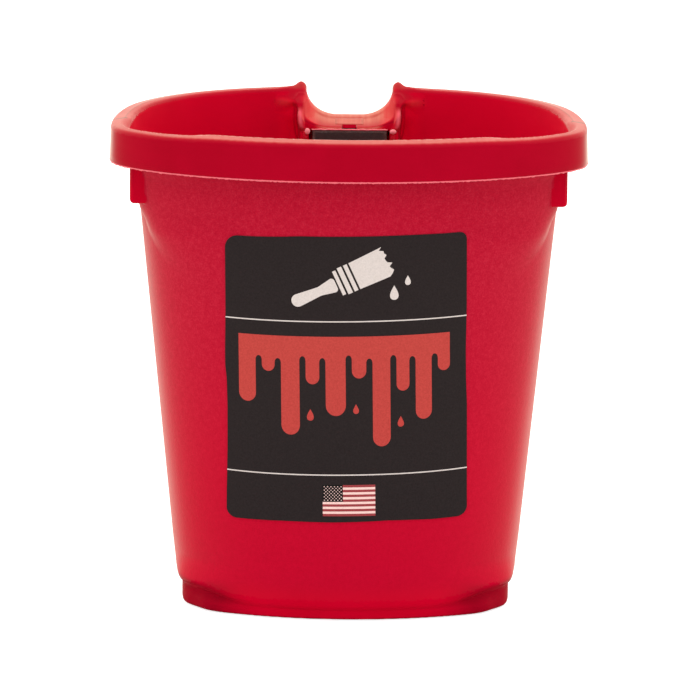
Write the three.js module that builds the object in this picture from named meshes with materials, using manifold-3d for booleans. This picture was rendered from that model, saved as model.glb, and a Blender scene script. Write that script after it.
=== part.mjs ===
// Hand-held paint cup: an oval injection-moulded cup with an overhanging rim,
// an open hook handle behind it, a bar magnet set in a boss on the rear inside
// wall, and a printed label on the front.
// Millimetres, +Z up, the front of the cup faces -Y, the handle is at +Y.
import * as THREE from 'three';
import { mergeVertices } from 'three/addons/utils/BufferGeometryUtils.js';
import Module from 'manifold-3d';

const wasm = await Module();
wasm.setup();

// ---------------------------------------------------------------- dimensions
const HEIGHT = 123.3;             // floor to the inner edge of the rim
const RIM_HALF_WIDTH = 59.9;      // widest point, lower edge of the rim skirt
const SKIRT_Z = 113.5;            // lower edge of the rim skirt
const WALL = 1.9;                 // side wall thickness
const SEGMENTS = 72;              // facets round the cup
const FRONT_RADIUS = 1.9;         // radius of the front arc, in half widths
const CORNER = 5;                 // tightness of the corners beside the front arc
const REAR_FULLNESS = 2.3;        // 2 would be an ellipse
const SIDE_TAPER = 0.09;          // how far the sides close in towards the front
const HORN = 1.2;                 // rise of the rim beside the thumb notch
const NOTCH_HALF = 11.25;         // half width of the thumb notch
const NOTCH_CORNER = { w: 8.2, h: 6.7 };   // elliptical corners of the notch
const CREST_Y = 45.0;             // highest line of the notch floor
const CREST_Z = 116.6;
const RAMP = 0.26;                // rise of the notch floor towards the crest
const FALL = 0.26;                // fall of the notch floor behind the crest
const BOSS_HALF = 12.9;           // half width of the magnet boss
const BOSS_FRONT = 37.2;          // front face of the boss
const MAGNET = { w: 19.0, t: 4.0, h: 15.0, top: 114.0, front: 36.7 };
const CLEAR = 0.3;                // gap round the magnet and behind the label
const END_GAP = 0.8;              // gap at each end of the magnet
const LUG = { out: 54.7, y0: -7.0, y1: 11.5, z0: 102.75, h: 13.95 };
const LABEL = { w: 59.8, h: 72.8, r: 2.5, t: 0.3, xc: -0.28, zc: 62.3, tilt: 0.95, sag: 0.3 };
const CENTRE_Y = 20.94;           // middle of the overall depth

// half width, front depth and rear depth of the outside wall at height z
const wallA = (z) => 42.3 + 0.1003 * z;
const wallF = (z) => 23.4 + 0.0235 * z;
const wallR = (z) => 35.4 + 0.0865 * z;
// the foot steps in a little further at the front than at the sides
const FOOT_INSET = 0.3;
const footInset = (z) => FOOT_INSET * (1 - THREE.MathUtils.smoothstep(z, 4.8, 9.5));

// ---------------------------------------------------------------- helpers
const toSolid = (geometry) => {
  const g = geometry.clone();
  g.deleteAttribute('normal');
  g.deleteAttribute('uv');
  const m = mergeVertices(g, 1e-4);
  // triangles that collapse on the axis are dropped
  const index = m.index.array, tri = [];
  for (let i = 0; i < index.length; i += 3) {
    const [a, b, c] = [index[i], index[i + 1], index[i + 2]];
    if (a !== b && b !== c && c !== a) tri.push(a, b, c);
  }
  return new wasm.Manifold(new wasm.Mesh({
    numProp: 3,
    vertProperties: new Float32Array(m.attributes.position.array),
    triVerts: new Uint32Array(tri),
  }));
};
const toGeometry = (solid) => {
  const m = solid.getMesh();
  const g = new THREE.BufferGeometry();
  const n = m.vertProperties.length / m.numProp;
  const p = new Float32Array(n * 3);
  for (let i = 0; i < n; i++) {
    for (let k = 0; k < 3; k++) p[3 * i + k] = m.vertProperties[m.numProp * i + k];
  }
  g.setAttribute('position', new THREE.BufferAttribute(p, 3));
  g.setIndex(new THREE.BufferAttribute(new Uint32Array(m.triVerts), 1));
  g.computeVertexNormals();
  return g;
};
const warp = (geometry, fn) => {
  const p = geometry.attributes.position;
  const v = new THREE.Vector3();
  for (let i = 0; i < p.count; i++) {
    v.fromBufferAttribute(p, i);
    fn(v);
    p.setXYZ(i, v.x, v.y, v.z);
  }
  return geometry;
};
const roundRect = (w, h, r) => {
  const s = new THREE.Shape();
  s.moveTo(-w / 2 + r, -h / 2);
  s.lineTo(w / 2 - r, -h / 2);
  s.absarc(w / 2 - r, -h / 2 + r, r, -Math.PI / 2, 0, false);
  s.lineTo(w / 2, h / 2 - r);
  s.absarc(w / 2 - r, h / 2 - r, r, 0, Math.PI / 2, false);
  s.lineTo(-w / 2 + r, h / 2);
  s.absarc(-w / 2 + r, h / 2 - r, r, Math.PI / 2, Math.PI, false);
  s.lineTo(-w / 2, -h / 2 + r);
  s.absarc(-w / 2 + r, -h / 2 + r, r, Math.PI, 1.5 * Math.PI, false);
  return s;
};
const polygon = (pts) => new THREE.Shape(pts.map(([x, y]) => new THREE.Vector2(x, y)));
// a shape drawn in (x, z), pushed from y0 to y1
const alongY = (shape, y0, y1, steps = 1, curveSegments = 6) => {
  const g = new THREE.ExtrudeGeometry(shape, {
    depth: y1 - y0, steps, bevelEnabled: false, curveSegments,
  });
  g.rotateX(Math.PI / 2);         // (x, y, z) -> (x, -z, y)
  g.translate(0, y1, 0);
  return g;
};
// a shape drawn in (y, z), pushed from x0 to x1
const alongX = (shape, x0, x1, curveSegments = 6) => {
  const g = new THREE.ExtrudeGeometry(shape, {
    depth: x1 - x0, bevelEnabled: false, curveSegments,
  });
  g.rotateX(Math.PI / 2);
  g.rotateZ(Math.PI / 2);         // (x, y, z) -> (z, x, y)
  g.translate(x0, 0, 0);
  return g;
};

// ---------------------------------------------------------------- cup shell
// closed profile: half width of the plan against height, from the middle of
// the underside round the outside, over the rim and down the inside
const outside = [
  [0, 1.2], [20, 1.2], [34.2, 1.2], [35.3, 0.0], [40.1, 0.0], [40.9, 0.35], [41.3, 1.0],
  [41.3, 4.8], [41.6, 5.4], [42.35, 6.3], [42.95, 7.7], [43.3, 10.0],
  [wallA(45), 45], [wallA(80), 80], [wallA(117.4), 117.4],
  [54.7, 119.4], [55.6, 120.3], [56.9, 120.4], [57.7, 119.8], [57.95, SKIRT_Z],
  [RIM_HALF_WIDTH, SKIRT_Z], [59.7, 121.4], [59.35, 122.3], [58.6, 122.85],
  [56.2, HEIGHT], [55.0, 123.05], [54.0, 122.2],
];
const inside = [
  [53.4, 121.0], [52.85, 119.2],
  [wallA(80) - WALL, 80], [wallA(45) - WALL, 45], [wallA(13) - WALL, 13],
  [41.0, 9.0], [39.6, 6.1], [37.4, 4.4], [34.2, 3.7], [20, 3.7], [0, 3.7],
];

// plan of the cup: a shallow arc with rounded corners in front, half a full
// oval behind; the level is 1 on the outline
const planLevel = (x, y, a, f, r) => {
  if (y >= 0) {
    return (Math.abs(x / a) ** REAR_FULLNESS + (y / r) ** REAR_FULLNESS) ** (1 / REAR_FULLNESS);
  }
  const t = -y / f;
  const side = Math.abs(x) / (a * (1 - SIDE_TAPER * t * t));
  const front = -y / Math.max(1, f - x * x / (2 * FRONT_RADIUS * a));
  return (side ** CORNER + front ** CORNER) ** (1 / CORNER);
};
const solve = (lo, hi, fn) => {
  for (let i = 0; i < 60; i++) {
    const mid = (lo + hi) / 2;
    if (fn(mid) < 1) lo = mid; else hi = mid;
  }
  return (lo + hi) / 2;
};
const planPoint = (a, z, s, c) => {
  // s, c: sine and cosine round the plan, c = 1 at the front
  const a0 = Math.max(a, 34.2);
  const d = a0 - wallA(z);
  const f = wallF(z) - footInset(z) + d, r = wallR(z) + d;
  const b = c < 0 ? r : f;
  const k = solve(0, 2, (q) => planLevel(q * a0 * s, -q * b * c, a0, f, r)) * a / a0;
  return [k * a0 * s, -k * b * c];
};

const swept = (points) => warp(new THREE.LatheGeometry(
  points.map(([x, y]) => new THREE.Vector2(x, y)), SEGMENTS), (v) => {
  const a = Math.hypot(v.x, v.z);
  const z = v.y;
  if (a < 1e-6) { v.set(0, 0, z); return; }
  let s = v.x / a, c = v.z / a;
  if (Math.abs(s) < 1e-9) s = 0;
  if (Math.abs(c) < 1e-9) c = 0;
  const [x, y] = planPoint(a, z, s, c);
  let h = z;
  if (z > 119 && y > 20) {
    const f = 1 - Math.min(1, Math.max(0, (Math.abs(x) - NOTCH_HALF) / 11));
    h += HORN * f * f;
  }
  v.set(x, y, h);
});
let body = toSolid(swept([...outside, ...inside]));
// the space inside the cup, kept clear of the lugs and the handle root
const cavity = toSolid(swept([...inside].reverse().concat([[0, 121.2]])));

// ---------------------------------------------------------------- side lugs
const lugShape = roundRect(LUG.out - 49.0, LUG.h, 1.0);
for (const side of [-1, 1]) {
  const g = alongY(lugShape, LUG.y0, LUG.y1, 1, 4);
  g.translate(side * (LUG.out + 49.0) / 2, 0, LUG.z0 + LUG.h / 2);
  body = body.add(toSolid(g).subtract(cavity));
}

// ---------------------------------------------------------------- magnet boss
// wedge on the rear inside wall; its upright front face runs out into the
// sloping wall lower down
const bossBack = (z) => wallR(z) - 1.7;
const bossShape = polygon([
  [BOSS_FRONT, 57], [bossBack(58), 57], [bossBack(100), 100], [bossBack(121.6), 121.6],
  [BOSS_FRONT + 5.2, 121.5], [BOSS_FRONT + 2.4, 119.2], [BOSS_FRONT + 0.7, 117.2], [BOSS_FRONT, 115.8],
]);
let boss = toSolid(alongX(bossShape, -BOSS_HALF, BOSS_HALF));
body = body.add(boss);
// guide rails at the ends of the magnet
for (const side of [-1, 1]) {
  const rail = polygon([
    [36.5, 97.0], [38.0, 95.4], [38.0, 114.6], [36.9, 114.4], [36.5, 113.6],
  ]);
  const x0 = side * 11.45 - 0.7, x1 = side * 11.45 + 0.7;
  body = body.add(toSolid(alongX(rail, x0, x1)));
}

// ---------------------------------------------------------------- hook handle
const handlePath = new THREE.CatmullRomCurve3([
  [42.6, 113.9], [49.0, 113.4], [56.4, 111.0], [63.3, 105.4], [68.3, 96.6],
  [71.1, 85.0], [71.6, 70.0], [70.2, 54.0], [68.1, 40.0], [66.9, 32.0],
].map(([y, z]) => new THREE.Vector3(0, y, z)), false, 'centripetal');
const strapShape = roundRect(24, 5.0, 1.9);
const strap = new THREE.ExtrudeGeometry(strapShape, {
  steps: 26, bevelEnabled: false, extrudePath: handlePath, curveSegments: 3,
});
// the strap narrows towards its free end
warp(strap, (v) => { v.x *= 1.06 - 0.22 * THREE.MathUtils.smoothstep(112 - v.z, 0, 80); });
let handle = toSolid(strap);
if (handle.volume() < 0) throw new Error('handle is inside out');
const tip = new THREE.CylinderGeometry(2.5, 2.5, 18.6, 20);
tip.rotateZ(Math.PI / 2);
tip.translate(0, 66.9, 32.0);
handle = handle.add(toSolid(tip));
// cheeks of the notch run back on to the strap and fade away
const cheek = polygon([[44, 112], [62.5, 108.6], [57.0, 113.6], [51.5, 119.4], [48.0, 121.0], [44, 121.0]]);
for (const side of [-1, 1]) {
  const x0 = side > 0 ? 10.2 : -12.7;
  handle = handle.add(toSolid(alongX(cheek, x0, x0 + 2.5)));
}
body = body.add(handle.subtract(cavity));

// ---------------------------------------------------------------- thumb notch
// U-shaped channel; its floor climbs from the boss to a crest and falls away
// over the handle
const channel = new THREE.Shape();
channel.moveTo(-NOTCH_HALF - 0.5, 12);
channel.lineTo(-NOTCH_HALF, NOTCH_CORNER.h);
channel.absellipse(-NOTCH_HALF + NOTCH_CORNER.w, NOTCH_CORNER.h, NOTCH_CORNER.w, NOTCH_CORNER.h,
  Math.PI, 1.5 * Math.PI, false, 0);
channel.lineTo(NOTCH_HALF - NOTCH_CORNER.w, 0);
channel.absellipse(NOTCH_HALF - NOTCH_CORNER.w, NOTCH_CORNER.h, NOTCH_CORNER.w, NOTCH_CORNER.h,
  1.5 * Math.PI, 2 * Math.PI, false, 0);
channel.lineTo(NOTCH_HALF + 0.5, 12);
const cutter = alongY(channel, 33, 60, 18, 6);
warp(cutter, (v) => {
  const t = v.y - CREST_Y;
  const soft = Math.sqrt(t * t + 2.0) - Math.sqrt(2.0);
  v.z += CREST_Z - (t < 0 ? RAMP : FALL) * soft;
});
body = body.subtract(toSolid(cutter));

// ---------------------------------------------------------------- magnet pocket
const pocket = new THREE.BoxGeometry(MAGNET.w + 2 * END_GAP, 9, MAGNET.h + 2 * CLEAR);
pocket.translate(0, MAGNET.front + MAGNET.t + CLEAR - 4.5, MAGNET.top - MAGNET.h / 2);
body = body.subtract(toSolid(pocket));
// snap tab over the middle of the magnet
const tab = polygon([[37.0, 114.55], [37.0, 116.1], [42.0, 117.0], [42.0, 115.3]]);
body = body.add(toSolid(alongX(tab, -1.8, 1.8)));

// ---------------------------------------------------------------- magnet bar
const barShape = roundRect(MAGNET.w - 0.5, MAGNET.h - 0.5, 0.4);
const bar = new THREE.ExtrudeGeometry(barShape, {
  depth: MAGNET.t - 0.5, bevelEnabled: true, bevelSize: 0.25, bevelThickness: 0.25,
  bevelSegments: 1, curveSegments: 3,
});
bar.rotateX(Math.PI / 2);
bar.translate(0, MAGNET.front + MAGNET.t - 0.25, MAGNET.top - MAGNET.h / 2);

// ---------------------------------------------------------------- front label
// a sheet wrapped on the outside of the front wall
const surfaceY = (x, z) => {
  const f = wallF(z);
  return -solve(0, f, (q) => planLevel(x, -q, wallA(z), f, wallR(z)));
};
const NX = 20, NZ = 14;
const wrapped = (u, w, lift) => {
  // u, w: position on the flat label about its middle
  const t = THREE.MathUtils.degToRad(LABEL.tilt);
  const x = LABEL.xc + u * Math.cos(t) - w * Math.sin(t);
  const z = LABEL.zc + u * Math.sin(t) + w * Math.cos(t) + LABEL.sag * (u / 30) ** 2;
  const h = 0.01;
  const px = (surfaceY(x + h, z) - surfaceY(x - h, z)) / (2 * h);
  const pz = (surfaceY(x, z + h) - surfaceY(x, z - h)) / (2 * h);
  const n = new THREE.Vector3(px, -1, pz).normalize();
  return new THREE.Vector3(x, surfaceY(x, z), z).addScaledVector(n, lift);
};
const sheet = new THREE.BoxGeometry(2, 2, 1, NX, NZ, 1);
warp(sheet, (v) => {
  // square grid squeezed into a rectangle with rounded corners
  let u = v.x * LABEL.w / 2, w = v.y * LABEL.h / 2;
  const cu = LABEL.w / 2 - LABEL.r, cw = LABEL.h / 2 - LABEL.r;
  const du = Math.abs(u) - cu, dw = Math.abs(w) - cw;
  if (du > 0 && dw > 0) {
    const m = Math.max(du, dw), l = Math.hypot(du, dw);
    u = Math.sign(u) * (cu + du * m / l);
    w = Math.sign(w) * (cw + dw * m / l);
  }
  const lift = v.z > 0 ? CLEAR + LABEL.t : CLEAR;
  v.copy(wrapped(u, w, lift));
});

// ---------------------------------------------------------------- assembly
const make = (name, geometry, colour, roughness, metalness) => {
  geometry.translate(0, -CENTRE_Y, 0);
  const mesh = new THREE.Mesh(geometry, new THREE.MeshStandardMaterial({
    color: colour, roughness, metalness,
  }));
  mesh.name = name;
  return mesh;
};
const solidOf = (geometry) => toGeometry(toSolid(geometry));

const group = new THREE.Group();
group.name = 'paint_cup';
group.add(make('cup_body', toGeometry(body), 0xc4152c, 0.45, 0.0));
group.add(make('brush_magnet', solidOf(bar), 0x2a1d1b, 0.6, 0.1));
group.add(make('front_label', solidOf(sheet), 0x2d2a2a, 0.4, 0.0));

export default group;
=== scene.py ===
"""A red moulded paint cup with a brush magnet and a black film label.

Lengths in the shape functions are millimetres in the cup's own axes: X to the
right, Y to the rear from the cup's widest line, Z up from the table.
"""

import math

import bmesh
import bpy
import numpy as np
from mathutils import Matrix, Vector


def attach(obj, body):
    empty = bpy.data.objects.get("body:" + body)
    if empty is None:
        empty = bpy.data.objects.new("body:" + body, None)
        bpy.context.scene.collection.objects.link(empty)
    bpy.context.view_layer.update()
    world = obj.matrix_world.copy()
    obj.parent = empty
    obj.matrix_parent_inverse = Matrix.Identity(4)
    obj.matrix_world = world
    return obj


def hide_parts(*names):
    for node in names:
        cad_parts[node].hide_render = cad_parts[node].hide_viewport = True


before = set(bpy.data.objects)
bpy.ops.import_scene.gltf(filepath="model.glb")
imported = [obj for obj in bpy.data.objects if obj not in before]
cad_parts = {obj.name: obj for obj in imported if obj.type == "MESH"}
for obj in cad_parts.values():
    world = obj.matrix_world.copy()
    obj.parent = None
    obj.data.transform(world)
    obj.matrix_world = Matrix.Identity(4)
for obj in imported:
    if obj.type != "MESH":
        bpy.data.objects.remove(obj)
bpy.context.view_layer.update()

CENTRE_Y = 20.94          # the widest line, behind the middle of the part's box

# ------------------------------------------------------------------ helpers


def smooth(a, b, v):
    t = np.clip((v - a) / (b - a), 0.0, 1.0)
    return t * t * (3.0 - 2.0 * t)


def smin(a, b, k):
    h = np.clip(0.5 + 0.5 * (b - a) / k, 0.0, 1.0)
    return b + (a - b) * h - k * h * (1.0 - h)


def smax(a, b, k):
    return -smin(-a, -b, k)


def fillet(points, steps=5):
    """A closed outline from (x, y, radius) corners."""
    out = []
    n = len(points)
    for i in range(n):
        p = np.array(points[i][:2], float)
        r = points[i][2]
        a = np.array(points[i - 1][:2], float) - p
        b = np.array(points[(i + 1) % n][:2], float) - p
        la, lb = np.linalg.norm(a), np.linalg.norm(b)
        a, b = a / la, b / lb
        ang = math.acos(float(np.clip(a @ b, -1, 1)))
        if r <= 0 or ang > math.pi - 1e-3:
            out.append(p)
            continue
        t = min(r / math.tan(ang / 2), 0.49 * la, 0.49 * lb)
        r = t * math.tan(ang / 2)
        bis = (a + b) / np.linalg.norm(a + b)
        c = p + bis * (r / math.sin(ang / 2))
        s = p + a * t - c
        e = p + b * t - c
        full = math.acos(float(np.clip((s @ e) / (r * r), -1, 1)))
        for k in range(steps + 1):
            f = k / steps
            v = (math.sin((1 - f) * full) * s + math.sin(f * full) * e) / math.sin(full)
            out.append(c + v)
    return np.array(out)


def polygon_sdf(poly, px, py):
    d = np.full(px.shape, 1e9, px.dtype)
    inside = np.zeros(px.shape, bool)
    n = len(poly)
    for i in range(n):
        ax, ay = poly[i - 1]
        bx, by = poly[i]
        ex, ey = bx - ax, by - ay
        ll = ex * ex + ey * ey
        if ll < 1e-12:
            continue
        wx, wy = px - ax, py - ay
        t = np.clip((wx * ex + wy * ey) / ll, 0.0, 1.0)
        qx, qy = wx - ex * t, wy - ey * t
        d = np.minimum(d, qx * qx + qy * qy)
        if ay != by:
            cross = ((ay > py) != (by > py)) & (px < ex * (py - ay) / ey + ax)
            inside ^= cross
    d = np.sqrt(d)
    return np.where(inside, -d, d)


# ------------------------------------------------------------ the cup's plan

WALL = 1.9
FRONT_R = 3.8             # twice the front arc's radius over the half width
REAR_P = 2.3              # fullness of the rear outline


def wall_a(z):
    return 42.3 + 0.1003 * z


FOOT_LINE = ((-22.5, -21.0, -19.5, -17.6, -16.0, -14.5, -12.5, -10.0, -6.0, 0.0),
             (-2.85, -2.75, -2.6, -2.2, -1.7, -1.2, -0.65, -0.4, 0.0, 1.2))


def foot_z(y, z):
    """Height measured so that the foot's upper edge is level: it falls to the front."""
    lift = np.interp(y, FOOT_LINE[0], FOOT_LINE[1])
    return z - lift * smooth(0.0, 3.4, z) * (1.0 - smooth(8.0, 17.0, z))


def wall_f(y, z):
    return 23.4 + 0.0235 * z - 0.3 * (1.0 - smooth(4.4, 8.2, foot_z(y, z)))


def wall_r(z):
    return 35.4 + 0.0865 * z


def plan_form(y, z):
    """Where the straight side panels start, and how far they draw in."""
    zb = 100.6 + 0.42 * np.clip(y, -16.0, 5.0)
    soft = 2.2 + 0.75 * np.clip(-1.5 - y, 0.0, 16.0)
    low = 1.0 - smooth(zb - soft, zb + soft, z)
    foot = 1.0 - smooth(5.0, 13.0, z)
    low = low * (1.0 - foot)
    return 5.0 * low, 0.06 + 0.12 * low


def plan_round(z):
    """How far the outline is rounder at the corners, under the rim."""
    return 0.65 * smooth(95.0, 102.5, z) * (1.0 - smooth(108.5, 115.5, z))


def plan_level(x, y, a, f, r, y0, kap, soft):
    yy = y0 - y
    ax = np.abs(x)
    rear = ((ax / a) ** REAR_P + (np.maximum(-yy, 0.0) / (r - y0)) ** REAR_P) ** (1.0 / REAR_P)
    fh = f + y0
    yp = np.maximum(yy, 0.0)
    t = np.minimum(yp / fh, 1.4)
    side = ax / (a * (1.0 - kap * (np.sqrt(t * t + 0.0225) - 0.15)))
    fr = yp / np.maximum(fh - ax * ax / (FRONT_R * a), 0.2 * fh)
    s2, f2 = side * side, fr * fr
    front = (s2 * s2 * side + f2 * f2 * fr) ** 0.2
    if np.any(soft > 0.0):
        front = front + (np.cbrt(s2 * side + f2 * fr) - front) * soft
    return np.where(yy > 0.0, front, rear)


FLOOR_A = 34.2


def plan_half(x, y, z):
    """The half width of the outline that runs through a point at its level."""
    A, F, R = wall_a(z), wall_f(y, z), wall_r(z)
    y0, kap = plan_form(y, z)
    soft = plan_round(z)
    dmin = FLOOR_A - A
    ax = np.abs(x)
    yp = np.maximum(y0 - y, 0.0)
    g = plan_level(x, y, A, F, R, y0, kap, soft)
    d_rear = np.hypot(x, y) * (1.0 - 1.0 / np.maximum(g, 0.05))
    t = np.minimum(yp / (F + y0), 1.4)
    d_side = ax / (1.0 - kap * (np.sqrt(t * t + 0.0225) - 0.15)) - A
    d_front = yp - (F + y0) + ax * ax / (FRONT_R * np.maximum(A + np.maximum(d_side, dmin), 20.0))
    d = np.clip(np.where(yp > 0, smax(d_side, d_front, 6.0), d_rear), dmin, 14.0)
    for _ in range(2):
        g0 = plan_level(x, y, A + d, F + d, R + d, y0, kap, soft)
        g1 = plan_level(x, y, A + d + 0.2, F + d + 0.2, R + d + 0.2, y0, kap, soft)
        slope = np.minimum((g1 - g0) / 0.2, -0.004)
        d = np.clip(d - (g0 - 1.0) / slope, dmin, 14.0)
    gf = plan_level(x, y, FLOOR_A + 0 * A, F + dmin, R + dmin, y0, kap, soft)
    return np.where(gf < 1.0, FLOOR_A * gf, A + d)


def outline(offset, z, theta):
    """Points on the outline that stands offset outside the wall at level z."""
    lo = np.full(theta.shape, 5.0)
    hi = np.full(theta.shape, 90.0)
    c, s = np.cos(theta), np.sin(theta)
    zz = np.full(theta.shape, float(z)) if np.isscalar(z) else z
    target = wall_a(zz) + offset
    for _ in range(34):
        mid = 0.5 * (lo + hi)
        out = plan_half(mid * c, mid * s, zz) > target
        hi = np.where(out, mid, hi)
        lo = np.where(out, lo, mid)
    m = 0.5 * (lo + hi)
    return m * c, m * s


def front_y(x, z, offset):
    """Y of the outside front wall, offset outwards, at each x and z."""
    A = wall_a(z)
    lo = -34.0 + 0 * x
    hi = -2.0 + 0 * x
    for _ in range(34):
        mid = 0.5 * (lo + hi)
        out = plan_half(x, mid, z) - A > offset
        lo = np.where(out, mid, lo)
        hi = np.where(out, hi, mid)
    return 0.5 * (lo + hi)


# -------------------------------------------------------- the cup's section

# the top of the rim falls outwards; its inner edge is rolled at the rear and sharp at the front
def rim_section(root, cap, edge):
    """Outer wall, channel under the rim, skirt, top and inner wall."""
    return fillet([(wall_a(90), 90, 0), (wall_a(112.3), 112.3, 3.0), root, cap, (57.95, 113.5, 0.3),
                   (59.9, 113.5, 0.3), (59.6, 122.85, 1.15)] + edge
                  + [(wall_a(101) - WALL, 101, 30), (wall_a(90) - WALL, 90, 0)], 6)


RIM_REAR = rim_section((55.9, 120.3, 1.4), (58.0, 120.5, 0.9), [(56.2, 123.40, 0.5), (54.2, 123.15, 1.6)])
RIM_FRONT = rim_section((56.3, 119.9, 1.4), (58.0, 120.1, 0.8), [(55.9, 123.42, 0.35), (52.9, 117.5, 6)])
RIM_CORNER = rim_section((57.0, 118.3, 0.5), (57.97, 118.6, 0.3), [(57.1, 123.22, 0.35), (53.0, 116.5, 6)])
WELD_Y = 3.2



def foot_section(toe, heel, turn):
    """Underside, foot, the turn under the wall, and the inside corner of the floor."""
    return fillet([(-12, 1.2, 0), (34.6, 1.2, 0.6), (35.4, 0.0, 0.5), toe, heel, turn, (43.5, 12.0, 8.0), (wall_a(34), 34, 0),
                   (wall_a(34) - WALL, 34, 0), (wall_a(3.7) - WALL, 3.7, 5.0), (-12, 3.7, 0)], 6)


FOOT = foot_section((41.3, 0.0, 1.0), (41.3, 5.4, 1.1), (42.9, 6.9, 2.0))
FOOT_MID = foot_section((41.55, 0.0, 0.9), (42.0, 4.7, 1.3), (42.78, 6.5, 2.0))


def horn(x, y, z):
    """The rear rim lifts beside the thumb notch; the ends of the rim lie a little lower."""
    ax = np.abs(x)
    u = np.clip((22.0 - ax) / 11.0, 0.0, 1.2)
    lift = (0.35 * u * u + 1.1 * smooth(14.4, 12.2, ax)) * smooth(20.0, 34.0, y)
    drop = 0.5 * smooth(30.0, 48.0, ax) * (1.0 - smooth(8.0, 25.0, y))
    return (lift - drop) * smooth(112.0, 121.0, z)


def rim_sdf(x, y, a, z):
    f = polygon_sdf(RIM_REAR, a, z)
    m = y < WELD_Y + 2.0
    if m.any():
        X, Y, A, Z = np.abs(x[m]), y[m], a[m], z[m]
        g = polygon_sdf(RIM_FRONT, A, Z)
        w = smooth(33.0, 47.0, X)
        h = polygon_sdf(RIM_CORNER, A, Z)
        g = g + (h - g) * w
        w = smooth(WELD_Y + 1.0, -12.0, Y)
        f[m] = f[m] + (g - f[m]) * w
    return f


def shell_sdf(x, y, z):
    a = plan_half(x, y, z)
    zz = z - horn(x, y, z)
    f = np.maximum(a - wall_a(z), wall_a(z) - WALL - a) * 0.995
    top = zz > 103.0
    if top.any():
        f[top] = rim_sdf(x[top], y[top], a[top], zz[top])
    low = z < 22.0
    if low.any():
        X, Y, Z = a[low], y[low], foot_z(y[low], z[low])
        X = X - 1.25 * np.exp(-((Y + 14.6) / 3.5) ** 2) * (1.0 - smooth(2.5, 6.5, Z)) * smooth(34.0, 38.0, X)
        g = polygon_sdf(FOOT, X, Z)
        n = Y < -14.0
        if n.any():
            g[n] += (polygon_sdf(FOOT_MID, X[n], Z[n]) - g[n]) * smooth(-14.0, -20.0, Y[n])
        f[low] = g
    return f, a


# ------------------------------------------------ lugs, notch, boss, handle

LUG = dict(out=54.7, y0=-7.0, y1=11.5, z0=102.75, z1=116.6)
NOTCH_HALF = 10.95
NOTCH_A, NOTCH_R = 7.9, 6.7
CREST_Y, CREST_Z, RAMP, FALL = 45.0, 116.62, 0.30, 0.26
BOSS_HALF, BOSS_FRONT = 12.9, 37.2
MAG = dict(w=19.0, t=4.0, h=15.0, top=114.0, front=36.7)
CLEAR = 0.3


def catmull(points, n):
    """Centripetal curve through 2-D points."""
    p = np.array(points, float)
    p = np.vstack([2 * p[0] - p[1], p, 2 * p[-1] - p[-2]])
    out = []
    for i in range(1, len(p) - 2):
        q = p[i - 1:i + 3]
        t = [0.0]
        for k in range(3):
            t.append(t[-1] + math.sqrt(np.linalg.norm(q[k + 1] - q[k])))
        for u in np.linspace(t[1], t[2], n, endpoint=False):
            a1 = (t[1] - u) / (t[1] - t[0]) * q[0] + (u - t[0]) / (t[1] - t[0]) * q[1]
            a2 = (t[2] - u) / (t[2] - t[1]) * q[1] + (u - t[1]) / (t[2] - t[1]) * q[2]
            a3 = (t[3] - u) / (t[3] - t[2]) * q[2] + (u - t[2]) / (t[3] - t[2]) * q[3]
            b1 = (t[2] - u) / (t[2] - t[0]) * a1 + (u - t[0]) / (t[2] - t[0]) * a2
            b2 = (t[3] - u) / (t[3] - t[1]) * a2 + (u - t[1]) / (t[3] - t[1]) * a3
            out.append((t[2] - u) / (t[2] - t[1]) * b1 + (u - t[1]) / (t[2] - t[1]) * b2)
    out.append(p[-2])
    return np.array(out)


STRAP = catmull([(42.6, 113.9), (49, 113.4), (56.4, 111), (63.3, 105.4), (68.3, 96.6),
                 (71.1, 85), (71.6, 70), (70.2, 54), (68.1, 40), (66.9, 32)], 6)
CHEEK = fillet([(42, 112, 0), (63.5, 107.6, 0.5), (57.2, 113.4, 3), (51.6, 119.6, 3),
                (48.4, 121.6, 2), (42, 121.6, 0)], 5)


def box_sdf(qx, qy, qz, r):
    """Rounded box from the three face distances."""
    qx, qy, qz = qx + r, qy + r, qz + r
    return (np.sqrt(np.maximum(qx, 0) ** 2 + np.maximum(qy, 0) ** 2 + np.maximum(qz, 0) ** 2)
            + np.minimum(np.maximum(qx, np.maximum(qy, qz)), 0.0) - r)


def ramp_floor(y):
    v = y - CREST_Y
    s = np.sqrt(v * v + 1.4) - math.sqrt(1.4)
    return CREST_Z - np.where(v < 0, RAMP - 0.03, FALL) * s


def rib_at(z):
    """The ribs beside the boss draw together downwards."""
    return BOSS_HALF - 0.5 + 0.08 * np.clip(z - 117.0, 0.0, 3.0) - 0.06 * np.clip(117.0 - z, 0.0, 4.0) ** 2


def ramp_step(y):
    """The ramp starts a little below the crest, along a line parallel to it."""
    return 0.26 * (1.0 - smooth(42.25, 43.25, y))


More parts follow.
